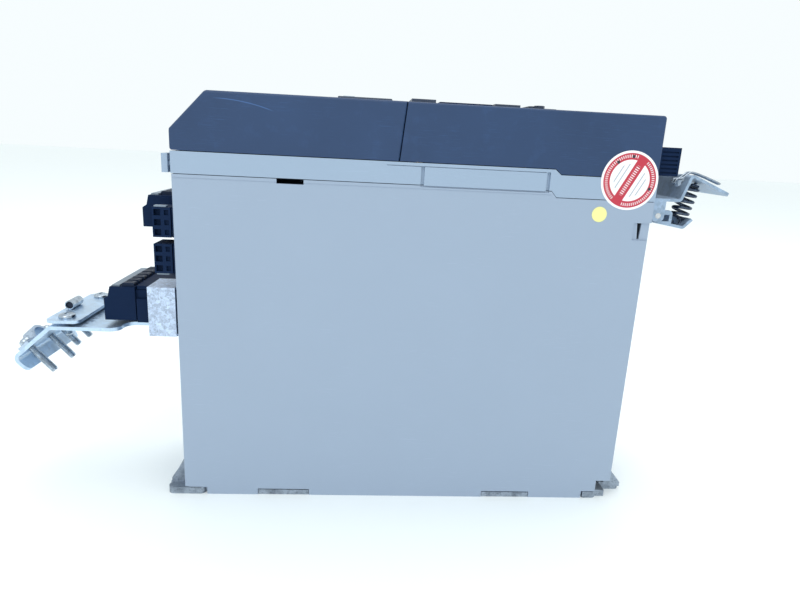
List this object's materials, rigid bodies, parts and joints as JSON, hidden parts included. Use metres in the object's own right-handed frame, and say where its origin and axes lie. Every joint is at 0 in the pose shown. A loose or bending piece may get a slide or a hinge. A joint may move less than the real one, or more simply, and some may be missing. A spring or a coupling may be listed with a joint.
{
  "type": "servo drive",
  "caption": "Slim panel-mount servo drive: boxed housing on a cast finned heat sink, dark front covers with keypad and sockets, pluggable terminals and cable shield clamps at both ends.",
  "frame": {"origin": "middle of the rear mounting face of the heat sink, half way along the housing and half way across its width", "axes": "+X along the housing towards the control-cable end, +Y across the width to the far side wall, +Z from the rear mounting face to the operator face"},
  "size_m": [0.3822, 0.0702, 0.2222],
  "materials": {
    "cast_aluminium": "rough cast",
    "light_housing_plastic": "fine moulded texture",
    "light_frame_plastic": "fine moulded texture",
    "dark_cover_plastic": "satin moulded texture",
    "fan_plastic": "satin",
    "module_resin": "satin",
    "zinc_screws": "zinc plated",
    "circuit_board": "solder mask",
    "brass_posts": "nickel free",
    "capacitor_sleeve": "shrink sleeve",
    "choke_winding": "enamelled wire",
    "relay_case": "smooth",
    "transformer_core": "ferrite",
    "terminal_plastic": "moulded",
    "marker_plastic": "smooth",
    "galvanised_sheet": "spangled zinc",
    "bright_sheet": "bright zinc",
    "spring_steel": "oiled",
    "panel_plastic": "fine moulded texture",
    "window_plastic": "clear tinted",
    "display_glass": "smooth",
    "port_shield": "nickel plated",
    "seal_paper": "printed",
    "dot_paper": "printed",
    "key_plastic": "soft touch"
  },
  "bodies": {
    "drive": {"aux_headers": "terminal_plastic", "board_posts": "brass_posts", "bus_ports": "port_shield", "charging_relay": "relay_case", "clamp_springs": "spring_steel", "clip_bracket": "galvanised_sheet", "control_board": "circuit_board", "control_header": "terminal_plastic", "cover_hook": "light_frame_plastic", "display_module": "display_glass", "display_window": "window_plastic", "dot_label": "dot_paper", "drive_ports": "port_shield", "fan_frame": "fan_plastic", "far_shell": "light_housing_plastic", "feedback_socket": "port_shield", "filter_choke": "choke_winding", "frame_screws": "zinc_screws", "front_frame": "light_frame_plastic", "heat_sink": "cast_aluminium", "inspection_seal": "seal_paper", "io_headers": "terminal_plastic", "left_front_cover": "dark_cover_plastic", "lever_pin": "zinc_screws", "link_capacitors": "capacitor_sleeve", "mains_header": "terminal_plastic", "motor_header": "terminal_plastic", "near_shell": "light_housing_plastic", "operator_panel": "panel_plastic", "power_board": "circuit_board", "power_module": "module_resin", "right_front_cover": "dark_cover_plastic", "riser_board": "circuit_board", "shield_plate": "bright_sheet", "supply_transformer": "transformer_core", "terminal_board": "circuit_board", "terminal_bracket": "galvanised_sheet"},
    "fan_rotor": {"fan_rotor": "fan_plastic"},
    "motor_plug": {"motor_plug": "terminal_plastic", "motor_plug_levers": "terminal_plastic", "motor_plug_strip": "marker_plastic"},
    "mains_plug": {"mains_plug": "terminal_plastic", "mains_plug_levers": "terminal_plastic", "mains_plug_strip": "marker_plastic"},
    "lower_aux_plug": {"lower_aux_plug": "terminal_plastic"},
    "upper_aux_plug": {"upper_aux_plug": "terminal_plastic"},
    "control_plug": {"control_plug": "terminal_plastic"},
    "near_io_plug": {"near_io_plug": "terminal_plastic"},
    "far_io_plug": {"far_io_plug": "terminal_plastic"},
    "near_cable_clamp": {"near_saddle": "bright_sheet", "near_saddle_screws": "zinc_screws"},
    "far_cable_clamp": {"far_saddle": "bright_sheet", "far_saddle_screws": "zinc_screws"},
    "strain_relief": {"strain_bar": "bright_sheet", "strain_bar_screws": "zinc_screws"},
    "clamp_lever": {"clamp_lever": "galvanised_sheet"},
    "key_1": {"key_1": "key_plastic"},
    "key_2": {"key_2": "key_plastic"},
    "key_3": {"key_3": "key_plastic"},
    "key_4": {"key_4": "key_plastic"}
  },
  "joints": [
    {"name": "fan_spin", "type": "hinge", "parent": "drive", "child": "fan_rotor", "pos_m": [-0.109, 0, 0.036], "axis": [1, 0, 0], "continuous": true},
    {"name": "motor_plug_pull", "type": "slide", "parent": "drive", "child": "motor_plug", "axis": [-1, 0, 0], "range_m": [0, 0.011]},
    {"name": "mains_plug_pull", "type": "slide", "parent": "drive", "child": "mains_plug", "axis": [-1, 0, 0], "range_m": [0, 0.012]},
    {"name": "lower_aux_plug_pull", "type": "slide", "parent": "drive", "child": "lower_aux_plug", "axis": [-1, 0, 0], "range_m": [0, 0.008]},
    {"name": "upper_aux_plug_pull", "type": "slide", "parent": "drive", "child": "upper_aux_plug", "axis": [-1, 0, 0], "range_m": [0, 0.008]},
    {"name": "control_plug_pull", "type": "slide", "parent": "drive", "child": "control_plug", "axis": [1, 0, 0], "range_m": [0, 0.0065]},
    {"name": "near_io_plug_pull", "type": "slide", "parent": "drive", "child": "near_io_plug", "axis": [0, 0, 1], "range_m": [0, 0.006]},
    {"name": "far_io_plug_pull", "type": "slide", "parent": "drive", "child": "far_io_plug", "axis": [0, 0, 1], "range_m": [0, 0.006]},
    {"name": "near_clamp_lift", "type": "slide", "parent": "drive", "child": "near_cable_clamp", "axis": [-0.67, 0, 0.7423], "range_m": [0, 0.006]},
    {"name": "far_clamp_lift", "type": "slide", "parent": "drive", "child": "far_cable_clamp", "axis": [-0.67, 0, 0.7423], "range_m": [0, 0.006]},
    {"name": "strain_bar_lift", "type": "slide", "parent": "drive", "child": "strain_relief", "axis": [0, 0, 1], "range_m": [-0.001, 0.006]},
    {"name": "clamp_lever_swing", "type": "hinge", "parent": "drive", "child": "clamp_lever", "pos_m": [0.13, 0, 0.1685], "axis": [0, 1, 0], "range_deg": [0, 20], "stiffness_Nm_per_rad": 0.5, "springref_deg": -17.19, "deforming": ["clamp_springs"]},
    {"name": "key_1_press", "type": "slide", "parent": "drive", "child": "key_1", "axis": [0, 0, -1], "range_m": [0, 0.0006], "stiffness_N_per_m": 800},
    {"name": "key_2_press", "type": "slide", "parent": "drive", "child": "key_2", "axis": [0, 0, -1], "range_m": [0, 0.0006], "stiffness_N_per_m": 800},
    {"name": "key_3_press", "type": "slide", "parent": "drive", "child": "key_3", "axis": [0, 0, -1], "range_m": [0, 0.0006], "stiffness_N_per_m": 800},
    {"name": "key_4_press", "type": "slide", "parent": "drive", "child": "key_4", "axis": [0, 0, -1], "range_m": [0, 0.0006], "stiffness_N_per_m": 800}
  ]
}
